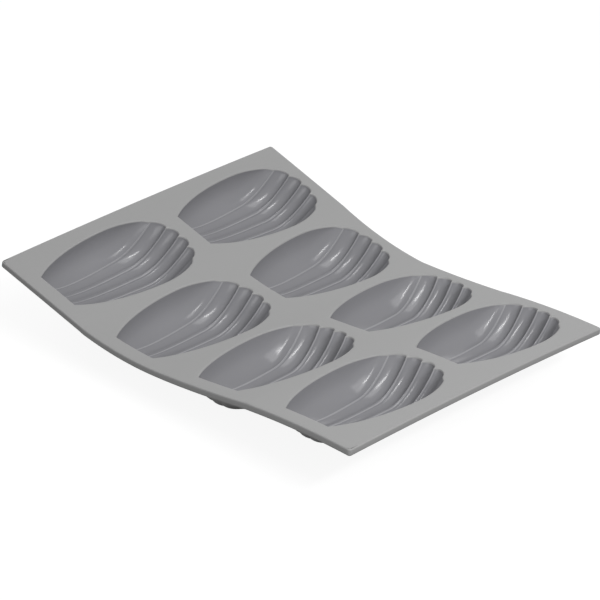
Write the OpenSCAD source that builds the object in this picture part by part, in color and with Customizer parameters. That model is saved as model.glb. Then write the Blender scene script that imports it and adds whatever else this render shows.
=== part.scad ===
// Flexible silicone madeleine mould: eight ribbed shell cups hang under one thin deck.
// X runs along the tray, Y across it from the near edge to the far edge, Z up.
// The tray is drawn as it stands on its cups, bowed the way the soft sheet lies.
// Four cup rows are stiff. Three plain bands between them, the webs, are the living hinges.

/* [Tray] */
// Length of the tray
tray_l = 210; // [208:1:230]
// Width of the tray
tray_w = 176; // [174:1:200]
// Thickness of the deck
deck_t = 2.4; // [1.8:0.1:3]
// Height of the thicker rim round the edge
rim_h = 3.2; // [3:0.1:5]
// Width of the rim
rim_w = 3.2; // [2.5:0.1:3.6]
// Width of the slope from the rim down to the deck's underside
rim_slope = 0.8; // [0.5:0.1:1]
// Radius of the tray's corners in plan
corner_r = 1.5; // [1:0.5:3.5]
// Width of a flexible web between two rows
web_w = 3.2; // [2:0.1:3.4]

/* [Layout] */
// Deck at each end of the tray beyond the strips that the rows take
end_margin = 5; // [4:0.5:10]
// Deck between two cups side by side
side_gap = 6.5; // [6.5:0.1:9]
// Deck between the near edge and the near cups
near_margin = 8; // [6:0.5:12]
// Deck between the far cups and the far edge
far_margin = 6; // [6:0.5:12]
// Deck between a near cup and the far cup behind it
end_gap = 8; // [4:0.5:12]

/* [Cups] */
// Width of a cup's straight end
end_w = 23; // [18:0.5:28]
// Distance from the straight end to the widest place
wide_v = 47; // [42:0.5:52]
// Width of a cup at the shoulders of its scalloped end
shoulder_w = 35.2; // [33:0.2:38]
// Distance from the shoulders to the tip of the scalloped end
shoulder_drop = 10; // [8:0.5:13]
// Depth of a cup at its middle, in the grooves
cup_depth = 17; // [14:0.5:22]
// Wall thickness at the bottom of a cup
wall = 1.6; // [1.2:0.1:2.2]
// Thickness of a cup's wall where it meets the deck
lip = 1.2; // [1:0.1:1.3]
// Height of the flats on which the cups stand, cut off their rounded bottoms
foot_cut = 0.8; // [0.5:0.1:1]

/* [Ribs] */
// Number of grooves in a cup
ribs = 4; // [4:2:6]
// Depth of a groove below the ridges beside it
groove = 1.6; // [0.8:0.1:2]
// How far a scallop of the lip stands out between two ridges
scallop = 3.1; // [2:0.1:3.6]
// Distance between the outermost ridges at the scalloped end
fan_w = 30; // [26:0.5:31]
// How far the outermost ridges end short of the middle one
crown = 4.2; // [2:0.1:5]
// Distance from the straight end back to the point that the ridges fan from
fan_far = 110; // [60:5:200]

/* [Rest shape] */
// Slope of each row along the tray, in degrees
row_tilt = [-15.7, -7.9, 4.9, 2.7]; // [-20:0.1:20]
// Bend of each row from its left side to its right side, in degrees
row_bend = [-0.4, 16, 4.8, -7]; // [-18:0.1:18]
// Roll of each row about the tray's length, in degrees
row_roll = [3.2, 1.1, -1.1, -1.7]; // [-5:0.1:5]
// Change of roll from one row to the next, in degrees
row_twist = [-1.2, -3, -1.3, 0]; // [-4:0.1:4]
// How far the long edges hang below the middle line
edge_droop = 1.2; // [0:0.1:3]

/* [Hidden] */

// Counts
rows = 4;
columns = 2;
lobe_steps = 4;
row_steps = 5;
mid_steps = 6;

// Derived sizes
half_w = tray_w / 2;
half_ribs = ribs / 2;
row_pitch = (tray_l - 2 * end_margin) / rows;
cup_w = row_pitch - side_gap;
cup_l = (tray_w - near_margin - far_margin - end_gap * (columns - 1)) / columns;
column_pitch = cup_l + end_gap;
shoulder_v = cup_l - shoulder_drop;
ridge_depth = cup_depth - groove;
ridge_gap = fan_w / ribs;
row_side = (row_pitch - web_w) / 2;
end_side = row_pitch / 2 + end_margin;
foot_z = cup_depth + wall - foot_cut;
border = rim_w + rim_slope;
inner_edge = half_w - border;
mid_y = near_margin - half_w + cup_l + end_gap / 2;
corner_step = 0.8;
// Hairline between a web and its rows, so that rounding can't make them overlap
web_gap = 0.01;

// Shape of a cup's hollow along and across: each side of the deepest place is a rounded wall
deep_b = 0.7;
near_power = 3;
near_round = 0.35;
far_power = 2.2;
far_round = 0.95;
side_power = 2.8;
side_round = 0.4;
// A groove is this share as deep at the straight end as at the scalloped end
groove_fade = 0.35;
// The outer scallops stand out less than the middle ones by this share for each ridge squared
scallop_fade = 0.1;
// Roundness of the scallops in plan, and of the channels between the ridges
scallop_round = 0.45;
channel_round = 0.8;

// The side of a cup is two quarter ellipses that meet at the widest place
side_low = wide_v / sqrt(1 - pow(end_w / cup_w, 2));
side_high = (shoulder_v - wide_v) / sqrt(1 - pow(shoulder_w / cup_w, 2));

// Grid lines of a cup: along it, and across it as [ridge number, share of the side panel]
b_steps = [0, 0.015, 0.06, 0.17, 0.36, 0.54, 0.64, 0.8, 0.94, 1];
side_steps = [0.35, 0.68, 0.9, 1];
side_n = len(side_steps);
c_steps = concat(
    [for (k = [side_n - 1:-1:0]) [-half_ribs, side_steps[k]]],
    [for (k = [0:ribs * lobe_steps]) [k / lobe_steps - half_ribs, 0]],
    [for (k = [0:side_n - 1]) [half_ribs, side_steps[k]]]
);
bn = len(b_steps) - 1;
cn = len(c_steps) - 1;

deck_color = [0.62, 0.62, 0.62];
rim_color = [0.58, 0.58, 0.58];
web_color = [0.60, 0.60, 0.60];
cup_color = [0.47, 0.47, 0.50];

function rad(a) = a * PI / 180;
function half_width(v) =
    let (side = v < wide_v ? side_low : side_high)
    cup_w / 2 * sqrt(1 - pow((v - wide_v) / side, 2));
function fan_x(i, v) = i * ridge_gap * (v + fan_far) / (cup_l - scallop - crown + fan_far);
function lobe(i, roundness) = pow(max(0, 1 - pow(2 * (i - floor(i)) - 1, 2)), roundness);
function ridge_end(i) = cup_l - scallop - crown * pow(i / half_ribs, 2);
function end_v(i) = ridge_end(i) + scallop * (1 - scallop_fade * i * i) * lobe(i, scallop_round);

// Plan of a cup at grid line c and share b of its length, grown outward by g
function plan(c, b, g) =
    let (i = c[0], w = c[1], way = i < 0 ? -1 : 1)
    let (ridge_v = b * (end_v(i) + 2 * g) - g, side_v = b * (shoulder_v + 1.6 * g) - g)
    let (side_x = way * (half_width(max(0, side_v)) + g))
    [fan_x(i, ridge_v) * (1 - w) + side_x * w, ridge_v * (1 - w) + side_v * w];

function along(b) = b < deep_b
    ? pow(1 - pow((deep_b - b) / deep_b, near_power), near_round)
    : pow(1 - pow((b - deep_b) / (1 - deep_b), far_power), far_round);
function spread(c, b) = min(1, abs(plan(c, b, 0)[0]) / half_width(b * shoulder_v));
function across(c, b) = c[1] == 1 ? 0 : pow(1 - pow(spread(c, b), side_power), side_round);
function bowl(c, b) = (b == 0 || b == 1) ? 0 : along(b) * across(c, b);
function rib_depth(c, b) =
    (c[1] > 0 || b == 0 || b == 1) ? 0
    : groove * lobe(c[0], channel_round) * sqrt(along(b)) * (groove_fade + (1 - groove_fade) * b);
function inner_depth(c, b) = ridge_depth * bowl(c, b) + rib_depth(c, b);
function outer_depth(c, b) = deck_t + (ridge_depth + wall - deck_t) * bowl(c, b) + rib_depth(c, b);

// Height of the deck's top over the flat plane of its row
function top_z(r, x, y) =
    rad(row_bend[r]) / row_pitch * x * x / 2
    + rad(row_twist[r]) / row_pitch * x * y
    - edge_droop * pow(y / half_w, 2);

// Middle of each row in the tray's frame, found by walking along the bowed sheet
function step_angle(r) = [row_tilt[r] + row_bend[r] / 4, row_tilt[r + 1] - row_bend[r + 1] / 4];
function step_x(a) = row_pitch / 2 * (cos(a[0]) + cos(a[1]));
function step_z(a) = row_pitch / 2 * (sin(a[0]) + sin(a[1]));
function row_x(r) = r == 0 ? 0 : row_x(r - 1) + step_x(step_angle(r - 1));
function row_z(r) = r == 0 ? 0 : row_z(r - 1) + step_z(step_angle(r - 1));
function turn(r, p) =
    let (a = row_roll[r], t = row_tilt[r])
    let (y = p[1] * cos(a) - p[2] * sin(a), z = p[1] * sin(a) + p[2] * cos(a))
    [row_x(r) + p[0] * cos(t) - z * sin(t), y, row_z(r) + p[0] * sin(t) + z * cos(t)];

function cup_y(k) = near_margin - half_w + k * column_pitch;
function cup_point(r, k, c, b, g, depth) =
    let (p = plan(c, b, g), y = p[1] + cup_y(k))
    [p[0], y, top_z(r, p[0], y) - depth];
function foot_point(r, k, c, b) =
    let (p = cup_point(r, k, c, b, lip, outer_depth(c, b)))
    [p[0], p[1], max(p[2], -foot_z)];

// Lines of points round the rim, m inside the tray's edge, anticlockwise seen from above
side_line = [for (k = [0:row_steps]) row_side * (2 * k / row_steps - 1)];
function near_line(m) = [for (x = side_line) [x, m - half_w]];
function corner_line(m) = [
    for (j = [-2:2])
    let (a = 45 + 22.5 * j)
    m == 0 ? [end_side - corner_r * (1 - sin(a)), corner_r * (1 - cos(a)) - half_w]
    : [end_side - m - max(0, -j) * corner_step, m - half_w + max(0, j) * corner_step]
];
function end_line(m) =
    let (start = concat([for (k = [0:row_steps - 1]) [side_line[k], m - half_w]], corner_line(m)))
    concat(
        start,
        [for (k = [1:mid_steps - 1]) [end_side - m, inner_edge * (2 * k / mid_steps - 1)]],
        [for (k = [len(start) - 1:-1:0]) [start[k][0], -start[k][1]]]
    );
function rim_lines(r, m) =
    r == 0 ? [[for (p = end_line(m)) -p]]
    : r == rows - 1 ? [end_line(m)]
    : [near_line(m), [for (p = near_line(m)) -p]];
function deck_point(r, p, depth) = [p[0], p[1], top_z(r, p[0], p[1]) - depth];

// The origin is the middle of the tray's outline, at the height that the cups stand on
foot_heights = [
    for (r = [0:rows - 1], k = [0:columns - 1], c = c_steps, b = b_steps) turn(r, foot_point(r, k, c, b))[2]
];
edge_points = [
    for (r = [0:rows - 1], l = rim_lines(r, 0), p = l, d = [0, rim_h]) turn(r, deck_point(r, p, d))
];
edge_x = [for (p = edge_points) p[0]];
edge_y = [for (p = edge_points) p[1]];
shift = -[(min(edge_x) + max(edge_x)) / 2, (min(edge_y) + max(edge_y)) / 2, min(foot_heights)];

module place(r) {
    translate([row_x(r), 0, row_z(r)] + shift)
    rotate([row_roll[r], -row_tilt[r], 0])
    children();
}

// Points round the edge of a cup's grid, as [grid line, share of length]
edge_loop = concat(
    [for (c = [0:cn]) [c, 0]],
    [for (b = [1:bn]) [cn, b]],
    [for (c = [cn - 1:-1:0]) [c, bn]],
    [for (b = [bn - 1:-1:1]) [0, b]]
);
en = len(edge_loop);

// A cup is a closed shell: the hollow, the lip, the band that fills the deck's hole, the outside
module cup(r, k) {
    grid = (cn + 1) * (bn + 1);
    inside = [for (c = c_steps, b = b_steps) cup_point(r, k, c, b, 0, inner_depth(c, b))];
    outside = [for (c = c_steps, b = b_steps) foot_point(r, k, c, b)];
    band_top = [for (e = edge_loop) cup_point(r, k, c_steps[e[0]], b_steps[e[1]], lip, 0)];
    rim = [for (e = edge_loop) e[0] * (bn + 1) + e[1]];
    faces = concat(
        [for (c = [0:cn - 1], b = [0:bn - 1]) let (a = c * (bn + 1) + b) [a, a + 1, a + bn + 2]],
        [for (c = [0:cn - 1], b = [0:bn - 1]) let (a = c * (bn + 1) + b) [a, a + bn + 2, a + bn + 1]],
        [for (c = [0:cn - 1], b = [0:bn - 1]) let (a = grid + c * (bn + 1) + b) [a, a + bn + 2, a + 1]],
        [for (c = [0:cn - 1], b = [0:bn - 1]) let (a = grid + c * (bn + 1) + b) [a, a + bn + 1, a + bn + 2]],
        [for (e = [0:en - 1]) let (f = (e + 1) % en) [rim[e], rim[f], 2 * grid + f]],
        [for (e = [0:en - 1]) let (f = (e + 1) % en) [rim[e], 2 * grid + f, 2 * grid + e]],
        [for (e = [0:en - 1]) let (f = (e + 1) % en) [2 * grid + e, 2 * grid + f, grid + rim[f]]],
        [for (e = [0:en - 1]) let (f = (e + 1) % en) [2 * grid + e, grid + rim[f], grid + rim[e]]]
    );
    color(cup_color)
    place(r)
    polyhedron(points = concat(inside, outside, band_top), faces = faces);
}

// A sheet from lines of points. Each line is the top from one side to the other, then the
// underside back. A closed sheet is a ring, an open one gets a flat cap at each end.
module sheet(lines, closed = false) {
    n = len(lines[0]);
    last = len(lines) - 1;
    spans = [for (l = [0:closed ? last : last - 1]) [l * n, (l + 1) % (last + 1) * n]];
    caps = [for (k = [0:n / 2 - 2]) each [[k, k + 1, n - 2 - k], [k, n - 2 - k, n - 1 - k]]];
    faces = concat(
        [for (s = spans, k = [0:n - 1]) [s[0] + k, s[1] + k, s[1] + (k + 1) % n]],
        [for (s = spans, k = [0:n - 1]) [s[0] + k, s[1] + (k + 1) % n, s[0] + (k + 1) % n]],
        closed ? [] : caps,
        closed ? [] : [for (f = caps) [last * n + f[0], last * n + f[2], last * n + f[1]]]
    );
    polyhedron(points = [for (l = lines) each l], faces = faces);
}

// A deck panel is a ring: rays from the cup's centre take its hole out to the edges of its cell
function cell_x(r) = [r == 0 ? border - end_side : -row_side, r == rows - 1 ? end_side - border : row_side];
function cell_y(k) = [k == 0 ? -inner_edge : mid_y, k == 0 ? mid_y : inner_edge];
function reach(d, limits) = d == 0 ? tray_l : (d > 0 ? limits[1] : limits[0]) / d;
function cell_point(r, k, p) =
    let (centre = [0, cup_y(k) + cup_l / 2])
    let (way = p - centre, y = cell_y(k))
    centre + way * min(reach(way[0], cell_x(r)), reach(way[1], [y[0] - centre[1], y[1] - centre[1]]));
function nearest(points, p) =
    let (gaps = [for (q = points) norm(q - p)])
    [for (e = [0:len(points) - 1]) if (gaps[e] == min(gaps)) e][0];

module deck(r, k) {
    hole = [for (e = edge_loop) plan(c_steps[e[0]], b_steps[e[1]], lip) + [0, cup_y(k)]];
    rays = [for (p = hole) cell_point(r, k, p)];
    corners = [for (x = cell_x(r), y = cell_y(k)) [x, y]];
    marks = [for (p = corners) nearest(rays, p)];
    outer = [
        for (e = [0:en - 1])
        let (at = [for (m = [0:3]) if (marks[m] == e) m])
        len(at) > 0 ? corners[at[0]] : rays[e]
    ];
    color(deck_color)
    place(r)
    sheet([
        for (e = [0:en - 1]) [
            deck_point(r, outer[e], 0),
            deck_point(r, hole[e], 0),
            deck_point(r, hole[e], deck_t),
            deck_point(r, outer[e], deck_t)
        ]
    ], closed = true);
}

module rim(r, side) {
    edge = rim_lines(r, 0)[side];
    flat = rim_lines(r, rim_w)[side];
    inner = rim_lines(r, border)[side];
    color(rim_color)
    place(r)
    sheet([
        for (l = [0:len(edge) - 1]) [
            deck_point(r, edge[l], 0),
            deck_point(r, flat[l], 0),
            deck_point(r, inner[l], 0),
            deck_point(r, inner[l], deck_t),
            deck_point(r, flat[l], rim_h),
            deck_point(r, edge[l], rim_h)
        ]
    ]);
}

// A web joins the side faces of two rows. Each of its lines has the rim at both ends.
web_y = concat(
    [-half_w, rim_w - half_w],
    [for (k = [0:mid_steps]) inner_edge * (2 * k / mid_steps - 1)],
    [half_w - rim_w, half_w]
);
function web_line(r, x) = [
    for (p = concat(
        [for (y = web_y) deck_point(r, [x, y], 0)],
        [for (y = web_y) deck_point(r, [x, -y], half_w - abs(y) < border ? rim_h : deck_t)]
    ))
    turn(r, p) + shift
];
module web(r) {
    color(web_color)
    sheet([web_line(r, row_side + web_gap), web_line(r + 1, -row_side - web_gap)]);
}

module deck_1_near() deck(0, 0);
module deck_1_far() deck(0, 1);
module deck_2_near() deck(1, 0);
module deck_2_far() deck(1, 1);
module deck_3_near() deck(2, 0);
module deck_3_far() deck(2, 1);
module deck_4_near() deck(3, 0);
module deck_4_far() deck(3, 1);
module rim_1() rim(0, 0);
module rim_2_near() rim(1, 0);
module rim_2_far() rim(1, 1);
module rim_3_near() rim(2, 0);
module rim_3_far() rim(2, 1);
module rim_4() rim(3, 0);
module web_1_2() web(0);
module web_2_3() web(1);
module web_3_4() web(2);
module cup_1_near() cup(0, 0);
module cup_1_far() cup(0, 1);
module cup_2_near() cup(1, 0);
module cup_2_far() cup(1, 1);
module cup_3_near() cup(2, 0);
module cup_3_far() cup(2, 1);
module cup_4_near() cup(3, 0);
module cup_4_far() cup(3, 1);

deck_1_near();
deck_1_far();
deck_2_near();
deck_2_far();
deck_3_near();
deck_3_far();
deck_4_near();
deck_4_far();
rim_1();
rim_2_near();
rim_2_far();
rim_3_near();
rim_3_far();
rim_4();
web_1_2();
web_2_3();
web_3_4();
cup_1_near();
cup_1_far();
cup_2_near();
cup_2_far();
cup_3_near();
cup_3_far();
cup_4_near();
cup_4_far();
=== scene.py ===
# Flexible silicone madeleine mould: the dressed model over the CAD frame.
# Shapes are worked out in millimetres, in the same way as the CAD source, and stored in metres.
import math
import bpy
import numpy as np
from mathutils import Matrix


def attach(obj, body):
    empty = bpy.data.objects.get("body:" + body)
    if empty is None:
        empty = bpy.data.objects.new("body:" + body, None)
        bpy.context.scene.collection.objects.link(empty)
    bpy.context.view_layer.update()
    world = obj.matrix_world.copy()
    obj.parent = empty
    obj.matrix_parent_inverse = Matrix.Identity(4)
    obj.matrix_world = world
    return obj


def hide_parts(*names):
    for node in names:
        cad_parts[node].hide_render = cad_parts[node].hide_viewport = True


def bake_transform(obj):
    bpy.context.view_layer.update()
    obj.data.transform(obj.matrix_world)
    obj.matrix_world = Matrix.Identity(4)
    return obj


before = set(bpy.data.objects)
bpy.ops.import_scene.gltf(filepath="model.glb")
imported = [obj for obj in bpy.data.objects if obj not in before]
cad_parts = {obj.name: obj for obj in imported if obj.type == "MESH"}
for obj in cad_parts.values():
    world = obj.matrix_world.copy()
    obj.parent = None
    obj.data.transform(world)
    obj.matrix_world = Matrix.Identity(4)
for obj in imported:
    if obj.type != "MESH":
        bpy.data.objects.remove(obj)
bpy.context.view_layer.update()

# Sizes of the tray, as in the CAD source
ROWS, COLUMNS = 4, 2
TRAY_L, TRAY_W = 210.0, 176.0
DECK_T, RIM_H, RIM_W, RIM_SLOPE = 2.4, 3.2, 3.2, 0.8
CORNER_R, WEB_W = 1.5, 3.2
END_MARGIN, SIDE_GAP, NEAR_MARGIN, FAR_MARGIN, END_GAP = 5.0, 6.5, 8.0, 6.0, 8.0
END_W, WIDE_V, SHOULDER_W, SHOULDER_DROP = 23.0, 47.0, 35.2, 10.0
CUP_DEPTH, WALL, LIP, FOOT_CUT = 17.0, 1.6, 1.2, 0.8
RIBS, GROOVE, SCALLOP, FAN_W, CROWN, FAN_FAR = 4, 1.6, 3.1, 30.0, 4.2, 110.0
ROW_TILT = (-15.7, -7.9, 4.9, 2.7)
ROW_BEND = (-0.4, 16.0, 4.8, -7.0)
ROW_ROLL = (3.2, 1.1, -1.1, -1.7)
ROW_TWIST = (-1.2, -3.0, -1.3, 0.0)
EDGE_DROOP = 1.2
# The part frame's origin in the frame of the first row's middle
SHIFT = np.array([-73.4300135, -0.0187232, 31.5035094])

HALF_W = TRAY_W / 2
HALF_RIBS = RIBS / 2
ROW_PITCH = (TRAY_L - 2 * END_MARGIN) / ROWS
CUP_W = ROW_PITCH - SIDE_GAP
CUP_L = (TRAY_W - NEAR_MARGIN - FAR_MARGIN - END_GAP) / COLUMNS
SHOULDER_V = CUP_L - SHOULDER_DROP
RIDGE_DEPTH = CUP_DEPTH - GROOVE
RIDGE_GAP = FAN_W / RIBS
ROW_SIDE = (ROW_PITCH - WEB_W) / 2
END_SIDE = ROW_PITCH / 2 + END_MARGIN
FOOT_Z = CUP_DEPTH + WALL - FOOT_CUT
BORDER = RIM_W + RIM_SLOPE
MID_Y = NEAR_MARGIN - HALF_W + CUP_L + END_GAP / 2
SIDE_LOW = WIDE_V / math.sqrt(1 - (END_W / CUP_W) ** 2)
SIDE_HIGH = (SHOULDER_V - WIDE_V) / math.sqrt(1 - (SHOULDER_W / CUP_W) ** 2)
LAST_V = CUP_L - SCALLOP - CROWN
# Where a cup is deepest, as a share of its length, and the powers that shape its floor
DEEP_B = 0.7
NEAR_POWER, NEAR_ROUND, FAR_POWER, FAR_ROUND = 3.0, 0.35, 2.2, 0.95
SIDE_POWER, SIDE_ROUND = 2.8, 0.4
SCALLOP_ROUND, CHANNEL_ROUND = 0.45, 0.8
# The outer scallops stand out less than the middle ones by this share for each ridge squared
SCALLOP_FADE = 0.1

# Forms that only this model has. Roundings of a cup's lip and of the rim's two edges, and the
# angles of the steps round them
LIP_ROUND, EDGE_ROUND, FOOT_ROUND = 0.7, 0.6, 0.9
ROUND_TURNS = np.linspace(0, math.pi / 2, 7)
# Rounding of a sharp crest, as a share of the gap between two ridges
CREST_SHARE = 0.03
# Half the width of an inner ridge's flat top, which tapers out from this share of the length on
FLAT_HALF, FLAT_END = 0.75, 0.7
# Width of the flank beside a flat top, its share of the channel's depth and the power of its curve
FLANK, FLANK_SHARE, FLANK_POWER = 0.55, 0.5, 1.5
# Width of the line of painted highlight along each edge of a flat top, its share of that at the near
# end and the share of the length where it is full
HIGHLIGHT_LINE, HIGHLIGHT_LINE_START, HIGHLIGHT_LINE_FULL = 0.36, 0.25, 0.45
# Half the width of a crest where it has no flat top
CREST_HALF = 0.12
# Share of their depth that the channels begin with, and the ribs that they form underneath
CHANNEL_START, RIB_START = 0.35, 0.55
# Underneath, the outer ribs stand this much higher than the two middle ones. The step to them
# starts this many ridge gaps from the middle, and is this wide
OUTER_LIFT, OUTER_FROM, OUTER_STEP = 1.3, 0.9, 0.6
# The crease that runs down from each shoulder of the lip: its depth, how far it lies beyond the
# outermost ridge and how wide it fades, in ridge gaps, the shares of the length where it begins
# and is full, and the power by which it fades at the lip
CREASE_DEPTH, CREASE_AT, CREASE_FADE = 0.9, 0.42, 0.3
CREASE_FROM, CREASE_FULL, CREASE_POWER = 0.45, 0.8, 6


def smooth(t):
    """A soft step from 0 to 1."""
    t = np.clip(t, 0, 1)
    return t * t * (3 - 2 * t)


def half_width(v):
    """Half a cup's width at distance v from its near end, without the fan."""
    side = np.where(v < WIDE_V, SIDE_LOW, SIDE_HIGH)
    return CUP_W / 2 * np.sqrt(1 - ((v - WIDE_V) / side) ** 2)


def gap_at(v):
    """Gap between two ridges, which fan out from a point behind the near end."""
    return RIDGE_GAP * (v + FAN_FAR) / (LAST_V + FAN_FAR)


def sharp_lobe(i, roundness):
    """As lobe, with sharp crests."""
    return np.maximum(0, 1 - (2 * (i - np.floor(i)) - 1) ** 2) ** roundness


def lobe(i, roundness):
    """The channel between two ridges, 0 at their slightly rounded crests and 1 midway. Each value
    is a mean over the crest's rounding, heaviest in the middle."""
    offsets = np.linspace(-1, 1, 9)
    weights = 1.001 - np.abs(offsets)

    def mean(at):
        spread = [w * sharp_lobe(at + o * CREST_SHARE, roundness) for o, w in zip(offsets, weights)]
        return sum(spread) / weights.sum()

    crest, middle = mean(0.0), mean(0.5)
    return np.maximum(0, (mean(i) - crest) / (middle - crest))


def end_v(i):
    """Where the far lip lies at ridge number i."""
    ridge = LAST_V + CROWN - CROWN * (i / HALF_RIBS) ** 2
    return ridge + SCALLOP * (1 - SCALLOP_FADE * i * i) * lobe(i, SCALLOP_ROUND)


def plan(i, w, b, g):
    """Plan of a cup at ridge number i, side share w and share b of its length, grown by g.
    The shoulders grow a little less than the far lip, as in the CAD source."""
    ridge_v = b * (end_v(i) + 2 * g) - g
    side_v = b * (SHOULDER_V + 1.6 * g) - g
    side_x = np.where(i < 0, -1, 1) * (half_width(np.maximum(0, side_v)) + g)
    return i * gap_at(ridge_v) * (1 - w) + side_x * w, ridge_v * (1 - w) + side_v * w


def along(b):
    """Depth of the floor along a cup, as a share of the greatest."""
    near = 1 - np.clip((DEEP_B - b) / DEEP_B, 0, 1) ** NEAR_POWER
    far = 1 - np.clip((b - DEEP_B) / (1 - DEEP_B), 0, 1) ** FAR_POWER
    return np.where(b < DEEP_B, near ** NEAR_ROUND, far ** FAR_ROUND)


def bowl(i, w, b):
    """Depth of the floor at a point of a cup, as a share of the greatest."""
    spread = np.minimum(1, np.abs(plan(i, w, b, 0)[0]) / half_width(b * SHOULDER_V))
    across = np.where(w >= 1, 0, (1 - spread ** SIDE_POWER) ** SIDE_ROUND)
    return np.where((b <= 0) | (b >= 1), 0, along(b) * across)


def flat_half(ridge, b):
    """Half the width of a ridge's flat top at share b of the length."""
    taper = smooth((b - FLAT_END) / (1 - FLAT_END))
    return np.where(np.abs(ridge) < HALF_RIBS, FLAT_HALF * (1 - taper), 0)


def channel(i, b):
    """Section of a channel: a shallow arc between two flanks."""
    ridge, gap = np.round(i), gap_at(b * CUP_L)
    flat = flat_half(ridge, b)
    away = np.maximum(0, np.abs(i - ridge) * gap - flat)
    arc = lobe(away / (gap / 2 - flat) / 2, CHANNEL_ROUND)
    flank = np.sin(math.pi / 2 * np.minimum(1, away / FLANK)) ** FLANK_POWER
    return (1 - FLANK_SHARE) * arc + FLANK_SHARE * flank


def rib_depth(i, w, b, start):
    """Depth of a channel, which begins at the near end with this share of its depth."""
    inside = (w <= 0) & (b > 0) & (b < 1)
    growth = start + (1 - start) * b
    return np.where(inside, GROOVE * channel(i, b) * np.sqrt(along(b)) * growth, 0)


def crease_depth(i, w, b):
    """Depth of the crease below a shoulder, which fades out at the lip."""
    x, v = plan(i, w, b, 0)
    beyond = np.abs(x) / gap_at(v) - HALF_RIBS
    rise = np.sin(math.pi / 2 * np.clip(beyond / CREASE_AT, 0, 1))
    fall = np.exp(-np.maximum(0, beyond - CREASE_AT) / CREASE_FADE)
    start = smooth((b - CREASE_FROM) / (CREASE_FULL - CREASE_FROM))
    fade = start * np.sqrt(along(b)) * (1 - w ** CREASE_POWER)
    return np.where((w > 0) & (b > 0) & (b < 1), CREASE_DEPTH * rise * fall * fade, 0)


def top_z(r, x, y):
    """Height of the deck's top in row r's own frame."""
    bend = math.radians(ROW_BEND[r]) / ROW_PITCH * x * x / 2
    twist = math.radians(ROW_TWIST[r]) / ROW_PITCH * x * y
    return bend + twist - EDGE_DROOP * (y / HALF_W) ** 2


def row_places():
    """Where the middle of each row lies in the first row's frame, each joined to the next."""
    places = [(0.0, 0.0)]
    for r in range(ROWS - 1):
        a = math.radians(ROW_TILT[r] + ROW_BEND[r] / 4)
        b = math.radians(ROW_TILT[r + 1] - ROW_BEND[r + 1] / 4)
        x, z = places[-1]
        half = ROW_PITCH / 2
        places.append((x + half * (math.cos(a) + math.cos(b)), z + half * (math.sin(a) + math.sin(b))))
    return places


PLACES = row_places()


def turn(r, x, y, z):
    """Points of row r's own frame in the part frame, in millimetres."""
    x, y, z = np.broadcast_arrays(np.asarray(x, float), y, z)
    a, t = math.radians(ROW_ROLL[r]), math.radians(ROW_TILT[r])
    side = y * math.cos(a) - z * math.sin(a)
    high = y * math.sin(a) + z * math.cos(a)
    px = PLACES[r][0] + x * math.cos(t) - high * math.sin(t)
    pz = PLACES[r][1] + x * math.sin(t) + high * math.cos(t)
    return np.stack([px, side, pz], -1) + SHIFT


def deck_points(r, x, y, depth):
    """Points of row r at a depth below the deck's top, in the part frame."""
    return turn(r, x, y, top_z(r, x, y) - depth)


def cup_y(k):
    """Where cup k starts across the tray."""
    return NEAR_MARGIN - HALF_W + k * (CUP_L + END_GAP)


# Building blocks for meshes

# Material slots: the deck, the cup, and the painted highlight along the ridges' lines
DECK_SLOT, CUP_SLOT, PAINTED_HIGHLIGHT_SLOT = 0, 1, 2


class Shell:
    """Points and faces gathered piece by piece, in millimetres."""

    def __init__(self):
        self.points, self.faces, self.slots, self.count = [], [], [], 0

    def grid(self, points, flip=False, closed=False, slot=DECK_SLOT):
        """Faces over a grid of points [line, step]. A closed grid joins its last line to its first.
        The slot is one number, or one for each strip between two lines."""
        lines, steps = points.shape[:2]
        ids = self.count + np.arange(lines * steps).reshape(lines, steps)
        if closed:
            ids = np.vstack([ids, ids[:1]])
        a, b, c, d = ids[:-1, :-1], ids[1:, :-1], ids[1:, 1:], ids[:-1, 1:]
        quads = np.stack([a, d, c, b] if flip else [a, b, c, d], -1).reshape(-1, 4)
        self.points.append(points.reshape(-1, 3))
        self.faces.append(quads)
        strips = len(quads) // (steps - 1)
        self.slots.append(np.repeat(np.broadcast_to(np.int32(slot), strips), steps - 1))
        self.count += lines * steps

    def build(self, name, materials):
        """The object of the gathered faces, in metres, with these materials in its slots."""
        points = np.concatenate(self.points) / 1000
        faces = np.concatenate(self.faces)
        mesh = bpy.data.meshes.new(name)
        mesh.from_pydata(points.tolist(), [], faces.tolist())
        for material in materials:
            mesh.materials.append(material)
        mesh.polygons.foreach_set("use_smooth", np.ones(len(faces), bool))
        mesh.polygons.foreach_set("material_index", np.concatenate(self.slots))
        mesh.validate()
        mesh.update()
        piece = bpy.data.objects.new(name, mesh)
        bpy.context.collection.objects.link(piece)
        return piece


def spaced(n, start, end, power):
    """n steps from start to end, closest together at start."""
    return start + (end - start) * np.linspace(0, 1, n + 1) ** power


# Steps along a cup, closest together at its two ends
B_SHARES = np.concatenate([
    spaced(16, 0, 0.3, 1.8)[:-1],
    np.linspace(0.3, 0.8, 20)[:-1],
    1 - spaced(18, 0, 0.2, 1.5)[::-1],
])


def half_lobe(ridge):
    """Ridge numbers beyond a ridge, at each step along it: its flat top, the line of painted highlight
    at its edge, and its channel.
    """
    gap = gap_at(B_SHARES * CUP_L)
    flat = np.maximum(flat_half(ridge, B_SHARES), CREST_HALF)
    line = HIGHLIGHT_LINE * (HIGHLIGHT_LINE_START + (1 - HIGHLIGHT_LINE_START) * smooth(B_SHARES / HIGHLIGHT_LINE_FULL))
    inner = np.maximum(flat - line / 2, flat / 2) / gap
    outer = (flat + line / 2) / gap
    # Steps out to the middle of the channel, closest together at the ridge
    shares = 1 - np.cos(np.linspace(0.25, math.pi / 2, 9))
    shares = (shares - shares[0]) / (shares[-1] - shares[0])
    return np.stack([0 * inner, inner] + [outer + (0.5 - outer) * q for q in shares])


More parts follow.
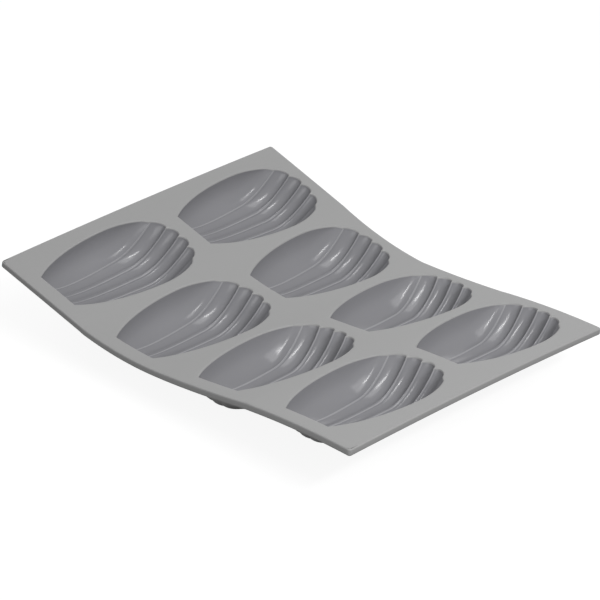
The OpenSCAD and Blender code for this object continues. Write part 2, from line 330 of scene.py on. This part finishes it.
def lobe_columns(n):
    """Ridge numbers of the columns of channel n, from one ridge up to the next."""
    left, right = half_lobe(n - HALF_RIBS), half_lobe(n + 1 - HALF_RIBS)
    return n - HALF_RIBS + np.vstack([left, 1 - right[-2:0:-1]])


# The columns of a cup's grid: the left side, the channels and the right side. A column has a
# ridge number for each step along it, and a share w of the way from the last ridge to the side
SIDE_N = 26
SIDE_SHARES = (1 + np.cos(np.linspace(0, math.pi, SIDE_N + 1))) / 2
LOBES = [lobe_columns(n) for n in range(RIBS)]
LOBE_N = len(LOBES[0])
SIDE_I = np.full((SIDE_N, len(B_SHARES)), HALF_RIBS)
GRID_I = np.vstack([-SIDE_I] + LOBES + [SIDE_I[:1], SIDE_I])
GRID_W = np.concatenate([SIDE_SHARES[:-1], np.zeros(LOBE_N * RIBS + 1), SIDE_SHARES[:-1][::-1]])[:, None]
GRID_B = B_SHARES[None, :]
COLUMNS_N, STEPS_N = GRID_I.shape

# Material slots of the strips of a cup's grid: the edge lines of the inner ridges and the crests
# of the outermost ones get a painted highlight, a lighter colour with the same polish as the rest of the
# cup
LOBE_SLOTS = np.full(LOBE_N, CUP_SLOT)
LOBE_SLOTS[[1, -2]] = PAINTED_HIGHLIGHT_SLOT
SIDE_SLOTS = np.full(SIDE_N, CUP_SLOT)
STRIP_SLOTS = np.concatenate([SIDE_SLOTS, np.tile(LOBE_SLOTS, RIBS), SIDE_SLOTS])
STRIP_SLOTS[SIDE_N - 2:SIDE_N + 2] = PAINTED_HIGHLIGHT_SLOT
STRIP_SLOTS[-SIDE_N - 2:2 - SIDE_N] = PAINTED_HIGHLIGHT_SLOT


def edge_loop():
    """Column and step of each point round the edge of a cup's grid, anticlockwise from above."""
    c, b = COLUMNS_N - 1, STEPS_N - 1
    columns = list(range(c + 1)) + [c] * b + list(range(c - 1, -1, -1)) + [0] * (b - 1)
    steps = [0] * (c + 1) + list(range(1, b + 1)) + [b] * c + list(range(b - 1, 0, -1))
    return np.array(columns), np.array(steps)


EDGE_C, EDGE_B = edge_loop()
EDGE_I, EDGE_W, EDGE_S = GRID_I[EDGE_C, EDGE_B], GRID_W[EDGE_C, 0], B_SHARES[EDGE_B]


def outline(k, g):
    """Plan of the edge of cup k, grown by g."""
    x, v = plan(EDGE_I, EDGE_W, EDGE_S, g)
    return x, v + cup_y(k)


def cup_piece(r, k, name, materials):
    """Cup k of row r: its hollow, its lip, its outside and the band in the deck's hole."""
    shell = Shell()
    share = bowl(GRID_I, GRID_W, GRID_B)
    crease = crease_depth(GRID_I, GRID_W, GRID_B)
    ribs = rib_depth(GRID_I, GRID_W, GRID_B, CHANNEL_START) + crease
    x, y = plan(GRID_I, GRID_W, GRID_B, 0)
    y = y + cup_y(k)
    inside = top_z(r, x, y) - LIP_ROUND - (RIDGE_DEPTH - LIP_ROUND) * share - ribs
    inner = turn(r, x, y, inside)
    shell.grid(inner, slot=STRIP_SLOTS)
    # The lip: a quarter round from the hollow up to the deck, then the flat of the lip
    rings = [inner[EDGE_C, EDGE_B]]
    for a in ROUND_TURNS[1:]:
        ox, oy = outline(k, LIP_ROUND * (1 - math.cos(a)))
        rings.append(deck_points(r, ox, oy, LIP_ROUND * (1 - math.sin(a))))
    ox, oy = outline(k, LIP)
    rings.append(deck_points(r, ox, oy, 0))
    shell.grid(np.stack(rings, 1), flip=True, closed=True)
    # The outside, with the flats that the cup stands on, and the band in the deck's hole. Nothing
    # reaches below the table
    x, y = plan(GRID_I, GRID_W, GRID_B, LIP)
    y = y + cup_y(k)
    beyond = smooth((np.abs(x) / gap_at(GRID_B * CUP_L) - OUTER_FROM) / OUTER_STEP)
    ribs = rib_depth(GRID_I, GRID_W, GRID_B, RIB_START) + crease
    under = top_z(r, x, y) - DECK_T - (RIDGE_DEPTH + WALL - DECK_T) * share - ribs
    under = under + OUTER_LIFT * beyond * share
    outer = turn(r, x, y, np.maximum(under, -FOOT_Z))
    outer[..., 2] = np.maximum(outer[..., 2], 0)
    shell.grid(outer, flip=True)
    band = [deck_points(r, ox, oy, d) for d in (0, DECK_T)]
    shell.grid(np.stack(band, 1), flip=True, closed=True)
    return shell.build(name, materials)


NEVER = 1e9


def reach(way, low, high):
    """How far along each way the cell's side lies, as a share of the way."""
    still = np.abs(way) < 1 / NEVER
    return np.where(still, NEVER, np.where(way > 0, high, low) / np.where(still, 1, way))


def cell_rays(r, k, inset, radius):
    """Outer ends of the rays from the middle of cup k's hole to the sides of its cell."""
    hx, hy = outline(k, LIP)
    cx, cy = 0.0, cup_y(k) + CUP_L / 2
    left = inset - END_SIDE if r == 0 else -ROW_SIDE
    right = END_SIDE - inset if r == ROWS - 1 else ROW_SIDE
    low, high = (inset - HALF_W, MID_Y) if k == 0 else (MID_Y, HALF_W - inset)
    dx, dy = hx - cx, hy - cy
    far = np.minimum(reach(dx, left, right), reach(dy, low - cy, high - cy))
    x, y = cx + dx * far, cy + dy * far
    for corner in ((left, low), (left, high), (right, low), (right, high)):
        nearest = np.argmin((x - corner[0]) ** 2 + (y - corner[1]) ** 2)
        x[nearest], y[nearest] = corner
    rounded_x = -1 if r == 0 else 1 if r == ROWS - 1 else 0
    if rounded_x and radius > 0:
        way = -1 if k == 0 else 1
        px = rounded_x * (END_SIDE - inset - radius)
        py = way * (HALF_W - inset - radius)
        beyond = (rounded_x * (x - px) > 0) & (way * (y - py) > 0)
        for n in np.where(beyond)[0]:
            gap = math.hypot(x[n] - px, y[n] - py)
            x[n], y[n] = px + (x[n] - px) * radius / gap, py + (y[n] - py) * radius / gap
    return hx, hy, x, y


# Where the deck's rings lie between a cup's hole and the sides of its cell
RING_SHARES = np.array([0, 0.12, 0.3, 0.5, 0.7, 0.88, 1.0])


def deck_cell(shell, r, k, inset, radius, depth):
    """The deck round cup k, from its hole out to the sides of its cell, at one depth."""
    hx, hy, x, y = cell_rays(r, k, inset, radius)
    t = RING_SHARES[None, :]
    gx, gy = hx[:, None] * (1 - t) + x[:, None] * t, hy[:, None] * (1 - t) + y[:, None] * t
    shell.grid(deck_points(r, gx, gy, depth), flip=depth == 0, closed=True)


# The foot of the rim has a line this far from its inner corner, so that it is shaded flat
FOOT_HOLD = 0.3


def rim_profile():
    """Inset and depth of the rim's section, from the deck's top round the edge to its underside."""
    top, foot = [], []
    for a in ROUND_TURNS:
        top.append((EDGE_ROUND * (1 - math.sin(a)), EDGE_ROUND * (1 - math.cos(a))))
        foot.append((FOOT_ROUND * (1 - math.cos(a)), RIM_H - FOOT_ROUND * (1 - math.sin(a))))
    return top + foot + [(RIM_W - FOOT_HOLD, RIM_H), (RIM_W, RIM_H), (BORDER, DECK_T)]


PROFILE = rim_profile()
# Gap between two stations along a side of the tray, and the stations of a corner and of an end
SIDE_STEP, CORNER_N, END_N = 2.0, 13, 60


def side_stations(y, x_from, x_to):
    """Stations along the side of the tray at y."""
    n = max(2, int(abs(x_to - x_from) / SIDE_STEP))
    return [(x, y, 0.0, -math.copysign(1, y)) for x in np.linspace(x_from, x_to, n + 1)]


def rim_stations(r):
    """Stations [x, y, inward x, inward y] round the free edge of a row, anticlockwise."""
    if 0 < r < ROWS - 1:
        return [side_stations(-HALF_W, -ROW_SIDE, ROW_SIDE), side_stations(HALF_W, ROW_SIDE, -ROW_SIDE)]
    stop = END_SIDE - CORNER_R
    line = side_stations(-HALF_W, -ROW_SIDE, stop)[:-1]
    for way in (-1, 1):
        arc = []
        for a in np.linspace(0, math.pi / 2, CORNER_N):
            dx, dy = math.sin(a), way * math.cos(a)
            centre_y = way * (HALF_W - CORNER_R)
            arc.append((stop + CORNER_R * dx, centre_y + CORNER_R * dy, -dx, -dy))
        if way > 0:
            arc = arc[::-1]
        line += arc
        if way < 0:
            ends = HALF_W - CORNER_R
            line += [(END_SIDE, y, -1.0, 0.0) for y in np.linspace(-ends, ends, END_N)[1:-1]]
    line += side_stations(HALF_W, stop, -ROW_SIDE)[1:]
    if r == 0:
        line = [(-x, -y, -nx, -ny) for x, y, nx, ny in line]
    return [line]


def rim_lines(r, stations):
    """The rim's section at each station, kept inside the corner's rounding."""
    x, y, nx, ny = (np.array(v)[:, None] for v in zip(*stations))
    inset = np.array([p[0] for p in PROFILE])[None, :]
    depth = np.array([p[1] for p in PROFILE])[None, :]
    shared = np.minimum(inset, CORNER_R)
    low = inset - END_SIDE if r == 0 else -ROW_SIDE
    high = END_SIDE - inset if r == ROWS - 1 else ROW_SIDE
    px = np.clip(x + nx * shared, low, high)
    py = np.clip(y + ny * shared, inset - HALF_W, HALF_W - inset)
    return deck_points(r, px, py, depth)


def deck_piece(r, name, materials):
    """The deck of row r with its free rim."""
    shell = Shell()
    for k in range(COLUMNS):
        deck_cell(shell, r, k, EDGE_ROUND, CORNER_R - EDGE_ROUND, 0)
        deck_cell(shell, r, k, BORDER, 0, DECK_T)
    for stations in rim_stations(r):
        shell.grid(rim_lines(r, stations))
    return shell.build(name, materials)


# Points across the top of a web's section and across its underside
WEB_TOP_N, WEB_BELOW_N = 90, 60


def web_section():
    """[y, depth] once round the section of a web, from the near edge over the top and back below."""
    near = [(p[0] - HALF_W, p[1]) for p in PROFILE]
    far = [(-y, d) for y, d in near]
    inner = HALF_W - EDGE_ROUND
    top = [(y, 0.0) for y in np.linspace(-inner, inner, WEB_TOP_N)[1:-1]]
    foot = HALF_W - BORDER
    below = [(y, DECK_T) for y in np.linspace(foot, -foot, WEB_BELOW_N)[1:-1]]
    return near[::-1] + top + far + below


# Lines across a web, and the step over which a row's direction is measured at its side
WEB_LINES, SLOPE_STEP = 9, 0.2


def web_piece(r, name, materials):
    """A web that leaves each of its two rows in that row's own direction."""
    section = web_section()
    y = np.array([p[0] for p in section])
    depth = np.array([p[1] for p in section])
    ends, slopes = [], []
    for row, x in ((r, ROW_SIDE), (r + 1, -ROW_SIDE)):
        ends.append(deck_points(row, x, y, depth))
        before, after = (deck_points(row, x + d, y, depth) for d in (-SLOPE_STEP / 2, SLOPE_STEP / 2))
        slopes.append((after - before) / SLOPE_STEP)
    span = np.linalg.norm(ends[1] - ends[0], axis=1)[:, None]
    lines = []
    # Weights of a cubic between two ends whose directions are given
    for t in np.linspace(0, 1, WEB_LINES):
        a, b = 2 * t ** 3 - 3 * t ** 2 + 1, t ** 3 - 2 * t ** 2 + t
        c, d = 3 * t ** 2 - 2 * t ** 3, t ** 3 - t ** 2
        lines.append(a * ends[0] + b * span * slopes[0] + c * ends[1] + d * span * slopes[1])
    shell = Shell()
    shell.grid(np.stack(lines, 1), flip=True, closed=True)
    return shell.build(name, materials)


def web_reach(r):
    """Start and end of the bend over web r, square to its rows' edges, in metres."""
    middle = [deck_points(row, x, 0, DECK_T / 2) for row, x in ((r, ROW_SIDE), (r + 1, -ROW_SIDE))]
    edges = [
        deck_points(row, x, HALF_W, DECK_T / 2) - deck_points(row, x, -HALF_W, DECK_T / 2)
        for row, x in ((r, ROW_SIDE), (r + 1, -ROW_SIDE))
    ]
    edge = (edges[0] + edges[1]) / np.linalg.norm(edges[0] + edges[1])
    way = middle[1] - middle[0]
    way = way - edge * way.dot(edge)
    return tuple(middle[0] / 1000), tuple((middle[0] + way) / 1000)


# Materials: one silicone, satin on the deck and polished in the cups. The cups' colour is darker than
# the deck's, which is painted shade, and the ridges' lines are lighter, which is painted highlight

def silicone(name, colour, roughness, bump):
    """Silicone with a fine grain, whose strength is bump."""
    material = bpy.data.materials.new(name)
    material.use_nodes = True
    nodes, links = material.node_tree.nodes, material.node_tree.links
    shader = nodes["Principled BSDF"]
    shader.inputs["Base Color"].default_value = (*colour, 1)
    shader.inputs["Roughness"].default_value = roughness
    shader.inputs["IOR"].default_value = SILICONE_IOR
    place = nodes.new("ShaderNodeTexCoord")
    grain = nodes.new("ShaderNodeTexNoise")
    grain.inputs["Scale"].default_value = GRAIN
    grain.inputs["Detail"].default_value = 2
    links.new(place.outputs["Object"], grain.inputs["Vector"])
    relief = nodes.new("ShaderNodeBump")
    relief.inputs["Strength"].default_value = bump
    relief.inputs["Distance"].default_value = GRAIN_HEIGHT
    links.new(grain.outputs["Fac"], relief.inputs["Height"])
    links.new(relief.outputs["Normal"], shader.inputs["Normal"])
    return material


SILICONE_IOR = 1.41
# Scale of the silicone's fine grain, and its height in metres
GRAIN, GRAIN_HEIGHT = 1400, 0.00005
SATIN, SATIN_GRAIN = 0.6, 0.3
POLISH, POLISH_GRAIN = 0.2, 0.05
DECK_COLOUR = (0.335, 0.335, 0.335)
# Darker than the deck's colour, which is painted shade in the cups' hollows; it also has a slight blue
# tint
CUP_COLOUR_PAINTED_SHADE = (0.246, 0.246, 0.26)
# Lighter than the cups' colour: painted highlight for the thin lines along the ridges
PAINTED_HIGHLIGHT_COLOUR = (0.345, 0.345, 0.36)
deck_silicone = silicone("deck_silicone", DECK_COLOUR, SATIN, SATIN_GRAIN)
# The cups' material carries the painted shade of their hollows
cup_silicone_painted_shade = silicone("cup_silicone_painted_shade", CUP_COLOUR_PAINTED_SHADE, POLISH, POLISH_GRAIN)
# This material paints the highlight on the ridges' lines; its polish is the same as the cups'
painted_highlight_silicone = silicone("painted_highlight_silicone", PAINTED_HIGHLIGHT_COLOUR, POLISH, POLISH_GRAIN)

# In the order of the material slots
CUP_MATERIALS = [deck_silicone, cup_silicone_painted_shade, painted_highlight_silicone]
for r in range(ROWS):
    body = f"row_{r + 1}"
    deck = deck_piece(r, f"deck_{r + 1}_moulding", [deck_silicone])
    replaced = [f"deck_{r + 1}_near", f"deck_{r + 1}_far"]
    replaced += [f"rim_{r + 1}_near", f"rim_{r + 1}_far"] if 0 < r < ROWS - 1 else [f"rim_{r + 1}"]
    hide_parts(*replaced)
    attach(deck, body)
    for k, end in enumerate(("near", "far")):
        cup = cup_piece(r, k, f"cup_{r + 1}_{end}_moulding", CUP_MATERIALS)
        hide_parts(f"cup_{r + 1}_{end}")
        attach(cup, body)

for r in range(ROWS - 1):
    web = web_piece(r, f"web_{r + 1}_{r + 2}_moulding", [deck_silicone])
    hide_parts(f"web_{r + 1}_{r + 2}")
    start, end = web_reach(r)
    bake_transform(web)


# The stage: a pale floor that keeps the tray's shadow, and a white world behind it

FLOOR_HALF, FLOOR_SHADE, FLOOR_GLOW, WORLD_LEVEL = 6.0, 0.15, 0.9, 0.33


def pale_floor():
    """A matt floor that glows for the camera alone, so that it looks white and lights nothing."""
    mesh = bpy.data.meshes.new("floor")
    s = FLOOR_HALF
    mesh.from_pydata([(-s, -s, 0), (s, -s, 0), (s, s, 0), (-s, s, 0)], [], [(0, 1, 2, 3)])
    material = bpy.data.materials.new("floor")
    material.use_nodes = True
    nodes, links = material.node_tree.nodes, material.node_tree.links
    nodes.clear()
    out = nodes.new("ShaderNodeOutputMaterial")
    matt = nodes.new("ShaderNodeBsdfDiffuse")
    matt.inputs["Color"].default_value = (FLOOR_SHADE, FLOOR_SHADE, FLOOR_SHADE, 1)
    glow = nodes.new("ShaderNodeEmission")
    path = nodes.new("ShaderNodeLightPath")
    level = nodes.new("ShaderNodeMath")
    level.operation = "MULTIPLY"
    level.inputs[1].default_value = FLOOR_GLOW
    links.new(path.outputs["Is Camera Ray"], level.inputs[0])
    links.new(level.outputs[0], glow.inputs["Strength"])
    add = nodes.new("ShaderNodeAddShader")
    links.new(matt.outputs[0], add.inputs[0])
    links.new(glow.outputs[0], add.inputs[1])
    links.new(add.outputs[0], out.inputs["Surface"])
    mesh.materials.append(material)
    floor = bpy.data.objects.new("floor", mesh)
    bpy.context.collection.objects.link(floor)


def white_world(strength):
    """White as seen by the camera, and this strong as a light."""
    world = bpy.data.worlds.new("studio")
    bpy.context.scene.world = world
    world.use_nodes = True
    nodes, links = world.node_tree.nodes, world.node_tree.links
    nodes.clear()
    out = nodes.new("ShaderNodeOutputWorld")
    lit = nodes.new("ShaderNodeBackground")
    lit.inputs["Strength"].default_value = strength
    shown = nodes.new("ShaderNodeBackground")
    shown.inputs["Color"].default_value = (1, 1, 1, 1)
    lit.inputs["Color"].default_value = (1, 1, 1, 1)
    path = nodes.new("ShaderNodeLightPath")
    mix = nodes.new("ShaderNodeMixShader")
    links.new(path.outputs["Is Camera Ray"], mix.inputs["Fac"])
    links.new(lit.outputs[0], mix.inputs[1])
    links.new(shown.outputs[0], mix.inputs[2])
    links.new(mix.outputs[0], out.inputs["Surface"])


# All lamps point at the middle of the tray
AIM = (0, 0, 0.02)


def softbox(name, place, size, power):
    """A lamp with its place and size in metres and its power in watts."""
    light = bpy.data.lights.new(name, "AREA")
    light.shape = "RECTANGLE"
    light.size, light.size_y = size
    light.energy = power
    lamp = bpy.data.objects.new(name, light)
    bpy.context.collection.objects.link(lamp)
    place = np.array(place)
    back = (place - np.array(AIM)) / np.linalg.norm(place - np.array(AIM))
    right = np.cross((0.0, 0.0, 1.0), back)
    right /= np.linalg.norm(right)
    up = np.cross(back, right)
    axes = np.stack([right, up, back, place], 1)
    lamp.matrix_world = Matrix(axes.tolist() + [[0, 0, 0, 1]])


pale_floor()
white_world(WORLD_LEVEL)
softbox("key", (0.8, -0.1, 0.85), (0.55, 0.12), 5.0)
softbox("fill", (0.7, 0.3, 1.0), (0.8, 0.8), 5.5)
softbox("back", (-1.1, 1.3, 0.5), (2.2, 0.9), 9.0)
softbox("front", (0.4, -1.2, 0.4), (1.2, 0.5), 4.2)

# The camera, found by matching the photograph's points to the model's
CAMERA_AT = (0.54127, -0.64275, 0.43817)
CAMERA_RIGHT = (0.742476, 0.666878, 0.063274)
CAMERA_DOWN = (0.338388, -0.291867, -0.894599)
CAMERA_WAY = (-0.578121, 0.685629, -0.442367)
camera_data = bpy.data.cameras.new("camera")
camera_data.sensor_width = 36
camera_data.lens = 124.11
camera_data.clip_start = 0.05
camera_data.clip_end = 50
camera = bpy.data.objects.new("camera", camera_data)
bpy.context.collection.objects.link(camera)
rows = [
    [CAMERA_RIGHT[n], -CAMERA_DOWN[n], -CAMERA_WAY[n], CAMERA_AT[n]] for n in range(3)
]
camera.matrix_world = Matrix(rows + [[0, 0, 0, 1]])
bpy.context.scene.camera = camera
bpy.context.scene.view_settings.view_transform = "Standard"
